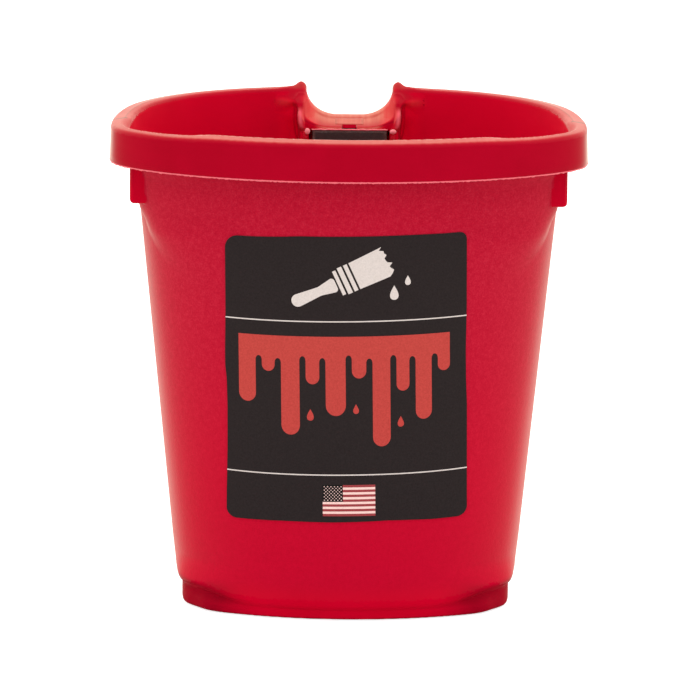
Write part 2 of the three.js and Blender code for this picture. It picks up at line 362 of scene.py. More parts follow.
def cup_sdf(p, want_a=False):
    x, y, z = p[:, 0], p[:, 1], p[:, 2]
    f, a = shell_sdf(x, y, z)
    ax = np.abs(x)

    # lugs under the rim at both sides
    m = (ax > 43) & (z > 99) & (y > -14) & (y < 17)
    if m.any():
        X, Y, Z = ax[m], y[m], z[m]
        q = box_sdf(np.maximum(X - LUG["out"], 45.5 - X),
                    np.maximum(Y - LUG["y1"], LUG["y0"] - Y),
                    np.maximum(Z - LUG["z1"], LUG["z0"] - Z), 1.15)
        q = np.maximum(q, wall_a(Z) - 0.7 - a[m])
        f[m] = smin(f[m], q, 0.22)

    # boss on the rear inside wall, with a half-round rib down each edge
    m = (ax < 19) & (y > 31) & (y < 52) & (z > 48)
    if m.any():
        X, Y, Z = ax[m], y[m], z[m]
        rise = np.maximum(0, Z - 115.5)
        lip = BOSS_FRONT + 0.034 * np.maximum(0, 98 - Z) + 0.30 * rise ** 1.6
        even = 0.97 / np.sqrt(1.0 + (0.48 * rise ** 0.6) ** 2)
        side = X - BOSS_HALF
        q = smax(side, (lip - Y) * even, 1.3)
        sink = 0.95 * (smooth(117.0, 119.8, Z) + smooth(114.9, 112.9, Z))
        rib = np.hypot(X - rib_at(Z) + 0.55 * sink, Y - lip + 0.05 - sink) - 0.85
        q = smin(q, rib * even * 0.8, 0.45)
        q = np.maximum(q, a[m] - wall_a(Z) + 0.5) + 3.2 * smooth(55.0, 48.5, Z)
        f[m] = smin(f[m], q, (2.4 + 2.6 * smooth(112.0, 117.0, Z)) * (1.0 - 0.45 * smooth(120.0, 123.0, Z)))

    # handle strap and the cheeks that carry it
    m = (ax < 18) & (y > 40)
    if m.any():
        X, Y, Z = ax[m], y[m], z[m]
        d2 = np.full(X.shape, 1e9)
        for i in range(1, len(STRAP)):
            e = STRAP[i] - STRAP[i - 1]
            wy, wz = Y - STRAP[i - 1][0], Z - STRAP[i - 1][1]
            t = np.clip((wy * e[0] + wz * e[1]) / (e @ e), 0, 1)
            d2 = np.minimum(d2, (wy - e[0] * t) ** 2 + (wz - e[1] * t) ** 2)
        dist = np.sqrt(d2)
        half = 12.0 * (1.06 - 0.22 * smooth(0, 80, 112 - Z))
        r = 2.1
        qx, qd = X - half + r, dist - 2.5 + r
        q = np.hypot(np.maximum(qx, 0), np.maximum(qd, 0)) + np.minimum(np.maximum(qx, qd), 0) - r
        # the grip swells to a rounded tip at its lower end
        tip = np.hypot(Y - 66.7, Z - 32.4)
        qx = X - 9.7 + r
        qd = tip - 3.1 + r
        e = np.hypot(np.maximum(qx, 0), np.maximum(qd, 0)) + np.minimum(np.maximum(qx, qd), 0) - r
        q = smin(q, e, 2.5)
        c2 = polygon_sdf(CHEEK, Y, Z)
        cx = np.maximum(X - 12.75, 10.2 - X)
        cr = 0.7
        qx, qd = cx + cr, c2 + cr
        c = np.hypot(np.maximum(qx, 0), np.maximum(qd, 0)) + np.minimum(np.maximum(qx, qd), 0) - cr
        q = smin(q, c, 1.4)
        q = np.maximum(q, wall_a(Z) - WALL + 0.5 - a[m])
        f[m] = smin(f[m], q, 1.8)

    # thumb notch through the rear rim
    m = (ax < 16) & (y > 30) & (z > 108)
    if m.any():
        X, Y, Z = ax[m], y[m], z[m]
        q = Z - ramp_floor(Y)
        half = NOTCH_HALF + 0.07 * np.maximum(q - NOTCH_R, 0.0) + 0.15 * np.maximum(44.5 - Y, 0.0)
        rad = NOTCH_R - 3.2 * smooth(44.0, 38.0, Y)
        px, pq = (X - half + NOTCH_A) * (rad / NOTCH_A), rad - q
        u = np.hypot(np.maximum(px, 0), np.maximum(pq, 0)) + np.minimum(np.maximum(px, pq), 0) - rad
        u = np.maximum(u - ramp_step(Y) * (1.0 - smooth(6.5, 10.0, X)), 32.0 - Y)
        f[m] = smax(f[m], -u, 0.8 + 1.0 * smooth(119.5, 123.0, Z))

    # pocket that takes the magnet, and the window over its middle
    m = (ax < 12.5) & (y > 33) & (y < 44) & (z > 95) & (z < 118)
    if m.any():
        X, Y, Z = ax[m], y[m], z[m]
        back = MAG["front"] + MAG["t"] + CLEAR
        q = np.maximum(np.maximum(X - 10.3, np.maximum(Y - back, 30 - Y)),
                       np.maximum(Z - MAG["top"] + 0.1, MAG["top"] - MAG["h"] - CLEAR - Z))
        f[m] = np.maximum(f[m], -q)
        q = np.maximum(np.maximum(X - 1.85 + 0.18 * (Z - 114.5), Y - 39.1), MAG["top"] - 0.4 - Z)
        f[m] = np.maximum(f[m], -q)

    # moulding gate under the floor
    m = (np.hypot(x, y - 4) < 6) & (z < 3.6)
    if m.any():
        rr = np.hypot(x[m], y[m] - 4)
        q = np.maximum(rr - 3.2, z[m] - 1.75)
        f[m] = smax(f[m], -q, 0.35)
        nib = np.maximum(rr - 0.9, 1.2 - z[m])
        f[m] = smin(f[m], np.maximum(nib, z[m] - 3.0), 0.25)
    if want_a:
        return f, a
    return f


def evaluate(p, fn=cup_sdf, chunk=250000):
    out = np.empty(len(p))
    for i in range(0, len(p), chunk):
        out[i:i + chunk] = fn(p[i:i + chunk])
    return out


TETRA = np.array([(1, -1, -1), (-1, -1, 1), (-1, 1, -1), (1, 1, 1)], float)


def gradient(p, h):
    g = np.zeros_like(p)
    for e in TETRA:
        g += e[None] * evaluate(p + e[None] * h)[:, None]
    return g / (4 * h)


def grid_lines(lo, hi, step, fine, levels):
    """Lines of a grid that is twice as close inside the fine stretch."""
    out = [lo]
    while out[-1] < hi or (len(out) - 1) % 2 ** levels:
        mid = out[-1] + 0.25 * step
        out.append(out[-1] + (step * 0.5 if fine and fine[0] < mid < fine[1] else step))
    return np.array(out)


def surface_net(lines, levels):
    """Quads on the zero level of cup_sdf, found by refining the cells near it."""
    offs = np.array([(i, j, k) for i in (0, 1) for j in (0, 1) for k in (0, 1)])
    st = 2 ** levels
    at = lambda c: np.stack([lines[i][c[..., i]] for i in range(3)], -1)
    idx = np.stack(np.meshgrid(*[np.arange(0, len(l) - 1, st) for l in lines], indexing="ij"), -1).reshape(-1, 3)
    for lev in range(levels + 1):
        a, b = at(idx), at(idx + st)
        d = np.abs(evaluate(0.5 * (a + b)))
        reach = 0.5 * np.linalg.norm(b - a, axis=1)
        idx = idx[d < reach * (1.35 if lev < levels else 1.2) + 0.02]
        if lev == levels:
            break
        st //= 2
        idx = (idx[:, None, :] + offs[None] * st).reshape(-1, 3)
    n = np.array([len(l) for l in lines]) + 2
    key = lambda c: ((c[..., 0] + 1) * n[1] + c[..., 1] + 1) * n[2] + c[..., 2] + 1
    corners = (idx[:, None, :] + offs[None])
    ck = key(corners)
    uk, inv = np.unique(ck.ravel(), return_inverse=True)
    uc = np.stack([uk // (n[1] * n[2]) - 1, uk // n[2] % n[1] - 1, uk % n[2] - 1], -1)
    val = evaluate(at(uc))
    cv = val[inv].reshape(-1, 8)
    mixed = (cv.min(1) < 0) & (cv.max(1) >= 0)
    idx, cv = idx[mixed], cv[mixed]
    order = np.argsort(key(idx))
    idx, cv = idx[order], cv[order]
    ids = key(idx)
    # a vertex per cell at the mean of its edge crossings
    pos = np.zeros((len(idx), 3))
    cnt = np.zeros(len(idx))
    for a in range(8):
        for bit in (1, 2, 4):
            if a & bit:
                continue
            b = a | bit
            va, vb = cv[:, a], cv[:, b]
            s = (va < 0) != (vb < 0)
            t = np.where(s, va / np.where(s, va - vb, 1.0), 0.0)
            q = offs[a][None] + (offs[b] - offs[a])[None] * t[:, None]
            pos += np.where(s[:, None], q, 0.0)
            cnt += s
    pos /= cnt[:, None]
    verts = at(idx) * (1 - pos) + at(idx + 1) * pos
    quads = []
    for axis, bit in ((0, 4), (1, 2), (2, 1)):
        s = (cv[:, 0] < 0) != (cv[:, bit] < 0)
        base = idx[s]
        neg = cv[s, 0] < 0
        u, v = [(1, 2), (2, 0), (0, 1)][axis]
        du, dv = np.zeros(3, int), np.zeros(3, int)
        du[u], dv[v] = 1, 1
        ring = [base, base - du, base - du - dv, base - dv]
        rk = np.stack([key(c) for c in ring], -1)
        hit = np.minimum(np.searchsorted(ids, rk), len(ids) - 1)
        ok = (ids[hit] == rk).all(1)
        hit, neg = hit[ok], neg[ok]
        quads.append(np.where(neg[:, None], hit, hit[:, ::-1]))
    return verts, np.concatenate(quads)


def project(v, rounds, h):
    for _ in range(rounds):
        f = evaluate(v)
        g = gradient(v, 0.03)
        gg = np.maximum((g * g).sum(1), 0.25)
        step = -(f / gg)[:, None] * g
        ln = np.linalg.norm(step, axis=1)
        step *= np.minimum(1.0, 0.6 * h / np.maximum(ln, 1e-9))[:, None]
        v = v + step
    return v


# -------------------------------------------------------------- mesh helpers

def to_row(v):
    v = np.asarray(v, float).copy()
    v[:, 1] -= CENTRE_Y
    return v * 0.001


def make_mesh(name, verts, faces, row=True):
    me = bpy.data.meshes.new(name)
    v = to_row(verts) if row else np.asarray(verts, float)
    faces = [list(map(int, f)) for f in faces] if not isinstance(faces, np.ndarray) else faces
    if isinstance(faces, np.ndarray):
        k = faces.shape[1]
        me.vertices.add(len(v))
        me.vertices.foreach_set("co", v.astype(np.float32).ravel())
        me.loops.add(faces.size)
        me.loops.foreach_set("vertex_index", faces.astype(np.int32).ravel())
        me.polygons.add(len(faces))
        me.polygons.foreach_set("loop_start", np.arange(0, faces.size, k, dtype=np.int32))
        me.update(calc_edges=True)
        me.validate()
    else:
        me.from_pydata([tuple(c) for c in v], [], faces)
        me.update()
    return me


def make_object(name, mesh, material):
    ob = bpy.data.objects.new(name, mesh)
    bpy.context.scene.collection.objects.link(ob)
    if material is not None:
        ob.data.materials.clear()
        ob.data.materials.append(material)
    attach(ob, "root")
    return ob


def shade_smooth(me):
    me.polygons.foreach_set("use_smooth", np.ones(len(me.polygons), bool))


def coords(me):
    c = np.empty(len(me.vertices) * 3, np.float32)
    me.vertices.foreach_get("co", c)
    return c.reshape(-1, 3).astype(float)


# ----------------------------------------------------------------- materials

def new_material(name):
    m = bpy.data.materials.new(name)
    m.use_nodes = True
    m.node_tree.nodes.clear()
    return m, m.node_tree.nodes, m.node_tree.links


def node(nodes, kind, **props):
    n = nodes.new(kind)
    inputs = props.pop("inputs", {})
    for k, v in props.items():
        setattr(n, k, v)
    for k, v in inputs.items():
        n.inputs[k].default_value = v
    return n


def ramp(nodes, stops, interp="LINEAR"):
    n = nodes.new("ShaderNodeValToRGB")
    n.color_ramp.interpolation = interp
    el = n.color_ramp.elements
    while len(el) > 1:
        el.remove(el[0])
    el[0].position = stops[0][0]
    el[0].color = stops[0][1]
    for p, c in stops[1:]:
        e = el.new(p)
        e.color = c
    return n


def grey(v):
    return (v, v, v, 1.0)


def math_node(nodes, links, op, a, b=None, clamp=False):
    n = nodes.new("ShaderNodeMath")
    n.operation = op
    n.use_clamp = clamp
    for i, s in enumerate((a, b)):
        if s is None:
            continue
        if isinstance(s, (int, float)):
            n.inputs[i].default_value = s
        else:
            links.new(s, n.inputs[i])
    return n.outputs[0]


def mix_colour(nodes, links, fac, a, b, blend="MIX"):
    n = nodes.new("ShaderNodeMix")
    n.data_type = "RGBA"
    n.blend_type = blend
    n.clamp_factor = True
    for sock, s in ((n.inputs[0], fac), (n.inputs[6], a), (n.inputs[7], b)):
        if isinstance(s, (int, float, tuple)):
            sock.default_value = s
        else:
            links.new(s, sock)
    return n.outputs[2]


def noise(nodes, links, vec, scale, detail=2.0, rough=0.5, dist=0.0):
    n = nodes.new("ShaderNodeTexNoise")
    n.inputs["Scale"].default_value = scale
    n.inputs["Detail"].default_value = detail
    n.inputs["Roughness"].default_value = rough
    n.inputs["Distortion"].default_value = dist
    links.new(vec, n.inputs["Vector"])
    return n.outputs["Fac"]


def red_plastic(name, bloom, spread):
    m, N, L = new_material(name)
    out = N.new("ShaderNodeOutputMaterial")
    bs = N.new("ShaderNodeBsdfPrincipled")
    L.new(bs.outputs[0], out.inputs[0])
    tc = N.new("ShaderNodeTexCoord").outputs["Object"]
    grain = node(N, "ShaderNodeAttribute", attribute_name="grain").outputs["Fac"]
    flash_and_highlight = node(N, "ShaderNodeAttribute", attribute_name="flash_and_highlight").outputs["Fac"]
    line = node(N, "ShaderNodeAttribute", attribute_name="plan_a").outputs["Fac"]
    sep = N.new("ShaderNodeSeparateXYZ")
    L.new(tc, sep.inputs[0])

    fine = noise(N, L, tc, 2600, 2.0, 0.55)
    mid = noise(N, L, tc, 900, 2.0, 0.5)
    broad = noise(N, L, tc, 55, 3.0, 0.55, 0.6)

    # pigment: a saturated red; where it is grained it runs from a deeper red low on the wall to a paler, cloudier red
    # higher up, a painted reflection of the brighter surroundings
    tone = ramp(N, [(0.3, (0.30, 0.0, 0.0110, 1)), (0.7, (0.34, 0.0002, 0.0138, 1))])
    L.new(broad, tone.inputs[0])
    # painted light and shade: the inner attribute lifts the base red towards a brighter tone on the inside wall, the
    # lugs, the rails, the notch's flanks and the foot's middle, and leaves it darker as painted shade on the foot's
    # sides and the boss's front
    painted_light_tone = ramp(N, [(0.3, (0.78, 0.0, 0.0245, 1)), (0.7, (0.82, 0.0003, 0.0280, 1))])
    L.new(broad, painted_light_tone.inputs[0])
    inner = node(N, "ShaderNodeAttribute", attribute_name="inner").outputs["Fac"]
    even = mix_colour(N, L, inner, tone.outputs[0], painted_light_tone.outputs[0])
    painted_haze = node(N, "ShaderNodeAttribute", attribute_name="painted_haze").outputs["Fac"]
    deep = ramp(N, [(0.32, (0.51, 0.0, 0.0205, 1)), (0.72, (0.58, 0.0006, 0.0265, 1))])
    pale = ramp(N, [(0.32, (0.435, 0.0022, 0.023, 1)), (0.5, (0.485, 0.0060, 0.030, 1)),
                    (0.72, (0.55, 0.016, 0.045, 1))])
    speck = math_node(N, L, "MULTIPLY_ADD", fine, 0.6)
    N[-1].inputs[2].default_value = 0.0
    speck2 = math_node(N, L, "MULTIPLY", mid, 0.4)
    specks = math_node(N, L, "ADD", speck, speck2)
    L.new(specks, pale.inputs[0])
    L.new(specks, deep.inputs[0])
    col = mix_colour(N, L, grain, even, mix_colour(N, L, painted_haze, deep.outputs[0], pale.outputs[0]))

    # painted highlight with some rubbing wear: the ramp, its crest and front lip and pad, the notch's flanks, the
    # horns, the front rim's upward faces and a spot on the inside wall beside the boss are painted a paler orange red
    # where they face the light from above; the fine streaks stand for rubbing
    wear_and_highlight = node(N, "ShaderNodeAttribute", attribute_name="wear_and_highlight").outputs["Fac"]
    along = node(N, "ShaderNodeVectorMath", operation="MULTIPLY")
    L.new(tc, along.inputs[0])
    along.inputs[1].default_value = (1.0, 0.06, 0.06)
    streak = noise(N, L, along.outputs[0], 1300, 2.0, 0.5)
    wear_and_highlight = math_node(N, L, "MULTIPLY", wear_and_highlight, math_node(N, L, "ADD", math_node(N, L, "MULTIPLY", streak, 0.9), 0.5), clamp=True)
    col = mix_colour(N, L, wear_and_highlight, col, (0.62, 0.226, 0.163, 1))

    # fine witness line along the top of the rim
    near = math_node(N, L, "ABSOLUTE", math_node(N, L, "SUBTRACT", line, 56.2))
    hair = ramp(N, [(0.0, grey(0.75)), (0.14, grey(0.65)), (0.3, grey(0.0))])
    L.new(near, hair.inputs[0])
    rear = math_node(N, L, "GREATER_THAN", sep.outputs[1], (WELD_Y - CENTRE_Y) * 0.001)
    ontop = math_node(N, L, "MULTIPLY", rear, math_node(N, L, "GREATER_THAN", sep.outputs[2], 0.1222))
    hairf = math_node(N, L, "MULTIPLY", hair.outputs[0], ontop)
    col = mix_colour(N, L, hairf, col, (0.25, 0.0, 0.004, 1))

    # a weld line crosses the rim at each end of the cup
    wave = math_node(N, L, "MULTIPLY", math_node(N, L, "SUBTRACT", broad, 0.5), 0.0012)
    wy_ = math_node(N, L, "ADD", sep.outputs[1], wave)
    off = math_node(N, L, "ABSOLUTE", math_node(N, L, "SUBTRACT", wy_, (WELD_Y - CENTRE_Y) * 0.001))
    weld = ramp(N, [(0.0, grey(1.0)), (0.35, grey(0.95)), (0.6, grey(0.0))])
    L.new(math_node(N, L, "MULTIPLY", off, 1000.0), weld.inputs[0])
    outer = math_node(N, L, "GREATER_THAN", line, 55.6)
    high = math_node(N, L, "GREATER_THAN", sep.outputs[2], 0.1206)
    weldf = math_node(N, L, "MULTIPLY", weld.outputs[0], math_node(N, L, "MULTIPLY", outer, high))
    col = mix_colour(N, L, weldf, col, (0.13, 0.0, 0.003, 1))

    # paler pink along the thin fin under the skirt and the skin over the magnet, and painted highlights on the ribs
    # beside the boss and on the nubs, the nubs nearly white
    col = mix_colour(N, L, flash_and_highlight, col, (0.83, 0.15, 0.19, 1))
    col = mix_colour(N, L, math_node(N, L, "SUBTRACT", flash_and_highlight, 1.0, clamp=True), col, (0.95, 0.55, 0.56, 1))
    L.new(col, bs.inputs["Base Color"])

    r0 = ramp(N, [(0.3, grey(0.38)), (0.7, grey(0.45))])
    L.new(broad, r0.inputs[0])
    r1 = ramp(N, [(0.35, grey(0.43)), (0.65, grey(0.53))])
    L.new(fine, r1.inputs[0])
    L.new(mix_colour(N, L, grain, r0.outputs[0], r1.outputs[0]), bs.inputs["Roughness"])
    bs.inputs["Specular IOR Level"].default_value = 0.015
    bs.inputs["Sheen Weight"].default_value = bloom
    bs.inputs["Sheen Roughness"].default_value = spread
    bs.inputs["Sheen Tint"].default_value = (1.0, 0.95, 0.86, 1)

    amount = math_node(N, L, "MULTIPLY_ADD", grain, 0.85)
    N[-1].inputs[2].default_value = 0.07
    hgt = math_node(N, L, "MULTIPLY", math_node(N, L, "ADD", fine, mid), amount)
    b = N.new("ShaderNodeBump")
    b.inputs["Strength"].default_value = 0.35
    b.inputs["Distance"].default_value = 0.00009
    L.new(hgt, b.inputs["Height"])
    L.new(b.outputs[0], bs.inputs["Normal"])
    return m


def ferrite():
    m, N, L = new_material("sintered_ferrite")
    out = N.new("ShaderNodeOutputMaterial")
    bs = N.new("ShaderNodeBsdfPrincipled")
    L.new(bs.outputs[0], out.inputs[0])
    tc = N.new("ShaderNodeTexCoord").outputs["Object"]
    edge = node(N, "ShaderNodeAttribute", attribute_name="edge").outputs["Fac"]
    fine = noise(N, L, tc, 3200, 4.0, 0.65)
    broad = noise(N, L, tc, 320, 3.0, 0.6)
    c = ramp(N, [(0.3, (0.011, 0.008, 0.0075, 1)), (0.6, (0.026, 0.018, 0.017, 1)),
                 (0.8, (0.055, 0.040, 0.038, 1))])
    L.new(fine, c.inputs[0])
    # the edges are painted a paler reddish brown: partly chips, partly a painted highlight and a painted reflection of
    # the red boss
    wear_and_highlight = math_node(N, L, "MULTIPLY", edge, fine)
    col = mix_colour(N, L, wear_and_highlight, c.outputs[0], (0.20, 0.13, 0.11, 1))
    L.new(col, bs.inputs["Base Color"])
    r = ramp(N, [(0.3, grey(0.5)), (0.7, grey(0.72))])
    L.new(broad, r.inputs[0])
    L.new(r.outputs[0], bs.inputs["Roughness"])
    b = N.new("ShaderNodeBump")
    b.inputs["Strength"].default_value = 0.4
    b.inputs["Distance"].default_value = 0.00008
    L.new(fine, b.inputs["Height"])
    L.new(b.outputs[0], bs.inputs["Normal"])
    return m


def film(name, dark, light, rough, spec=0.4, bump=0.12):
    """Printed label film: a nearly even ink with a faint mottle and orange peel."""
    m, N, L = new_material(name)
    out = N.new("ShaderNodeOutputMaterial")
    bs = N.new("ShaderNodeBsdfPrincipled")
    L.new(bs.outputs[0], out.inputs[0])
    tc = N.new("ShaderNodeTexCoord").outputs["Object"]
    fine = noise(N, L, tc, 2400, 2.0, 0.6)
    broad = noise(N, L, tc, 140, 3.0, 0.55)
    c = ramp(N, [(0.3, dark), (0.7, light)])
    L.new(fine, c.inputs[0])
    L.new(c.outputs[0], bs.inputs["Base Color"])
    r = ramp(N, [(0.3, grey(rough - 0.05)), (0.7, grey(rough + 0.06))])
    L.new(broad, r.inputs[0])
    L.new(r.outputs[0], bs.inputs["Roughness"])
    bs.inputs["Specular IOR Level"].default_value = spec
    b = N.new("ShaderNodeBump")
    b.inputs["Strength"].default_value = bump
    b.inputs["Distance"].default_value = 0.00003
    L.new(fine, b.inputs["Height"])
    L.new(b.outputs[0], bs.inputs["Normal"])
    return m


MAT_RED = red_plastic("red_moulded_plastic", 0.50, 0.39)
MAT_RED_IN = red_plastic("red_moulded_plastic_inside", 0.01, 0.39)
MAT_RED_BAND = red_plastic("red_moulded_plastic_band", 0.95, 0.29)
MAT_FERRITE = ferrite()
MAT_LABEL = film("label_black_film", (0.0180, 0.0126, 0.0136, 1), (0.0250, 0.0178, 0.0190, 1), 0.42, 0.07)
MAT_BLACKINK = film("label_black_ink", (0.006, 0.005, 0.005, 1), (0.010, 0.008, 0.008, 1), 0.45, 0.1)
MAT_WHITE = film("label_white_ink", (0.65, 0.575, 0.56, 1), (0.75, 0.665, 0.65, 1), 0.45, 0.2)
MAT_FLAG = film("label_pale_ink", (0.92, 0.60, 0.57, 1), (0.98, 0.68, 0.65, 1), 0.45, 0.2)
MAT_REDINK = film("label_red_ink", (0.46, 0.040, 0.034, 1), (0.56, 0.056, 0.048, 1), 0.45, 0.2)
MAT_DARKRED = film("label_dark_red_ink", (0.28, 0.022, 0.03, 1), (0.36, 0.032, 0.042, 1), 0.45)

# ------------------------------------------------------------------ cup body

CELL = 0.55
LEVELS = 3
verts, quads = surface_net([grid_lines(-63.0, 63.0, CELL, (-15.5, 15.5), LEVELS),
                            grid_lines(-37.0, 77.0, CELL, (35.0, 47.0), LEVELS),
                            grid_lines(-3.0, 127.0, CELL, (109.0, 125.0), LEVELS)], LEVELS)
verts = project(verts, 2, CELL)
body_mesh = make_mesh("cup_surface", verts, quads)

scratch = bpy.data.objects.new("cup_surface", body_mesh)
bpy.context.scene.collection.objects.link(scratch)
tris = 2 * len(quads)
if tris > 150000:
    dec = scratch.modifiers.new("thin", "DECIMATE")
    dec.ratio = 150000 / tris
    dg = bpy.context.evaluated_depsgraph_get()
    thin = bpy.data.meshes.new_from_object(scratch.evaluated_get(dg))
else:
    thin = body_mesh.copy()
bpy.data.objects.remove(scratch)
bpy.data.meshes.remove(body_mesh)


def row_to_mm(c):
    c = c * 1000.0
    c[:, 1] += CENTRE_Y
    return c


v = row_to_mm(coords(thin))
v = project(v, 2, 0.5)
faces = [tuple(p.vertices) for p in thin.polygons]
bpy.data.meshes.remove(thin)
normals = gradient(v, 0.05)
normals /= np.maximum(np.linalg.norm(normals, axis=1), 1e-9)[:, None]
half = np.concatenate([plan_half(*v[i:i + 200000].T) for i in range(0, len(v), 200000)])
outside = half - wall_a(v[:, 2])
step_a = 0.1
da = np.stack([plan_half(v[:, 0] + step_a * i, v[:, 1] + step_a * j, v[:, 2]) - half for i, j in ((1, 0), (0, 1))], -1)
da /= np.maximum(np.linalg.norm(da, axis=1), 1e-9)[:, None]
inward = -(normals[:, :2] * da).sum(1)
foot_mid = smooth(-12.0, -20.0, v[:, 1])
foot_h = foot_z(v[:, 1], v[:, 2])
grained = (smooth(-0.35, -0.1, outside) * smooth(6.9 - 0.4 * foot_mid, 8.2 + 5.3 * foot_mid, foot_h) * (1 - smooth(119.0, 120.5, v[:, 2]))
           * (1 - smooth(0.5, 1.2, outside)))
on_lug = ((np.abs(v[:, 0]) > 47.0) & (v[:, 1] > LUG["y0"] - 0.2) & (v[:, 1] < LUG["y1"] + 0.2) & (v[:, 2] > LUG["z0"] - 0.3)
          & (v[:, 2] < 113.6) & (outside > 0.15) & (outside < 5.0))
grained = grained * (1 - on_lug)

# ------------------------------------------------- small moulded-on details

parts_v, parts_f, parts_n, parts_flash_and_highlight = [], [], [], []


def add_part(pv, pf, flash_and_highlight=0.0):
    parts_v.append(np.asarray(pv, float))
    parts_f.append([tuple(f) for f in pf])
    parts_flash_and_highlight.append(flash_and_highlight)


def rounded_block(lo, hi, r, seg=3, taper=None):
    """A closed block with rounded edges, as a deformed cube sphere."""
    lo, hi = np.array(lo, float), np.array(hi, float)
    c, e = (lo + hi) / 2, (hi - lo) / 2
    r = min(r, *(e - 1e-3))
    bm = bmesh.new()
    bmesh.ops.create_cube(bm, size=2.0)
    bmesh.ops.subdivide_edges(bm, edges=bm.edges[:], cuts=2 * seg + 1, use_grid_fill=True)
    pv = []
    for q in bm.verts:
        u = np.array(q.co)
        s = np.sign(u) * (np.abs(u) > 1e-6)
        w = u / max(np.linalg.norm(u), 1e-9)
        # pull the middle of each face onto the flat, keep the corners round
        k = np.clip(np.abs(u) * 1.0, 0, 1)
        core = s * (e - r) * smooth(0.0, 0.5, k)
        pv.append(c + core + w * r)
    pf = [[x.index for x in f.verts] for f in bm.faces]
    bm.free()
    pv = np.array(pv)
    if taper is not None:
        pv = taper(pv)
    return pv, pf


# end rails beside the magnet
for sgn in (-1, 1):
    pv, pf = rounded_block((sgn * 11.5 - 1.0, 37.0, 95.0), (sgn * 11.5 + 1.0, 38.6, 113.4), 0.5)
    add_part(pv, pf)
    # each rail ends in a small snapped-over nub, painted nearly white as a highlight
    bm = bmesh.new()
    bmesh.ops.create_uvsphere(bm, u_segments=20, v_segments=12, radius=1.0)
    size, at = ((0.68, 0.5, 0.82), (-10.66, 36.18, 113.7)) if sgn < 0 else ((0.86, 0.5, 0.64), (11.2, 36.18, 113.75))
    pv = np.array([q.co for q in bm.verts]) * size + at
    pf = [[q.index for q in f.verts] for f in bm.faces]
    bm.free()
    add_part(pv, pf, 1.3)
    # the neck that joins the nub to its rail
    pv, pf = rounded_block((sgn * 11.2 - 0.6, 36.5, 111.6), (sgn * 11.2 + 0.6, 37.6, 113.75), 0.4)
    add_part(pv, pf, 0.1)

# a torn skin of plastic hangs over the magnet's upper edge
lg = np.random.default_rng(17)
for u0, u1 in ((-9.6, 9.8),):
    n_l = 110
    ux = np.linspace(u0, u1, n_l)
    up_ = 0.10 + 0.05 * np.sin(ux * 2.3) + lg.uniform(-0.05, 0.07, n_l)
    rim_ = []
    for oy, oz in ((36.52, 0.0), (36.60, 1.0), (37.25, 1.0), (37.25, 0.0)):
        rim_.append(np.stack([ux, np.full(n_l, oy), 114.02 + oz * (0.08 + np.clip(up_, 0.02, 0.3))], -1))
    pv = np.concatenate(rim_)
    pf = []
    for i in range(4):
        for k in range(n_l - 1):
            i2 = (i + 1) % 4
            pf.append((i * n_l + k, i2 * n_l + k, i2 * n_l + k + 1, i * n_l + k + 1))
    pf.append(tuple(i * n_l for i in (3, 2, 1, 0)))
    pf.append(tuple(i * n_l + n_l - 1 for i in (0, 1, 2, 3)))
    add_part(pv, pf, 0.9)


# pad down the middle of the ramp
nx, ny = 8, 14
px = np.linspace(-3.55, 3.55, nx + 1)
py = np.linspace(39.12, 42.3, ny + 1)
gx, gy = np.meshgrid(px, py, indexing="ij")
up = np.stack([gx.ravel(), gy.ravel(), ramp_floor(gy.ravel()) - 0.26 + 0.12], -1)
dn = up - np.array([0, 0, 0.6])
pid = lambda i, j: i * (ny + 1) + j
pf = []
half_n = len(up)
for i in range(nx):
    for j in range(ny):
        q = [pid(i, j), pid(i + 1, j), pid(i + 1, j + 1), pid(i, j + 1)]
        pf.append(q)
        pf.append([k + half_n for k in reversed(q)])
ring = [pid(i, 0) for i in range(nx + 1)] + [pid(nx, j) for j in range(1, ny + 1)] + \
       [pid(i, ny) for i in range(nx - 1, -1, -1)] + [pid(0, j) for j in range(ny - 1, 0, -1)]
for k in range(len(ring)):
    a_, b_ = ring[k], ring[(k + 1) % len(ring)]
    pf.append([b_, a_, a_ + half_n, b_ + half_n])
pad_at = len(parts_v)
add_part(np.concatenate([up, dn]), pf)

# ragged flash along the lower edge of the rim's skirt
rng = np.random.default_rng(7)
n_fl = 1100
th = np.linspace(0, 2 * math.pi, n_fl, endpoint=False)
u = np.arange(n_fl) / n_fl


def ragged(freqs, seed):
    g = np.random.default_rng(seed)
    out = np.zeros(n_fl)
    for fr in freqs:
        out += g.uniform(0.4, 1.0) * np.sin(2 * math.pi * (fr * u + g.uniform())) / len(freqs) ** 0.5
    return out


drop = 0.20 + 0.07 * ragged((37, 61, 83, 131, 173), 3) + 0.08 * ragged((211, 263, 307, 389), 5)
drop = np.clip(drop, 0.04, 0.6)
rows = []
for off, dz in ((59.72, 0.25), (59.95, 0.02), (59.92, -1.0), (59.74, -1.0), (59.6, 0.25)):
    zz = 113.5 + (0.0 if dz != -1.0 else 0.0) + (dz if dz != -1.0 else 0.0)
    ox, oy = outline(off - wall_a(113.5), 113.5, th)
    wob = 0.06 * ragged((53, 97, 149), 11)
    rr = np.hypot(ox, oy)
    ox, oy = ox * (1 + wob / rr), oy * (1 + wob / rr)
    z_ = np.full(n_fl, zz) if dz != -1.0 else 113.5 - drop
    rows.append(np.stack([ox, oy, z_], -1))
fv = np.concatenate(rows)
ff = []
nr = len(rows)
for i in range(nr):
    for k in range(n_fl):
        k2 = (k + 1) % n_fl
        i2 = (i + 1) % nr
        ff.append((i * n_fl + k, i2 * n_fl + k, i2 * n_fl + k2, i * n_fl + k2))
keep_k = ~((np.abs(fv[:n_fl, 0]) < 12.2) & (fv[:n_fl, 1] > 30))
ff = [f for f in ff if keep_k[f[0] % n_fl] and keep_k[f[2] % n_fl]]
add_part(fv, ff, 1.0)

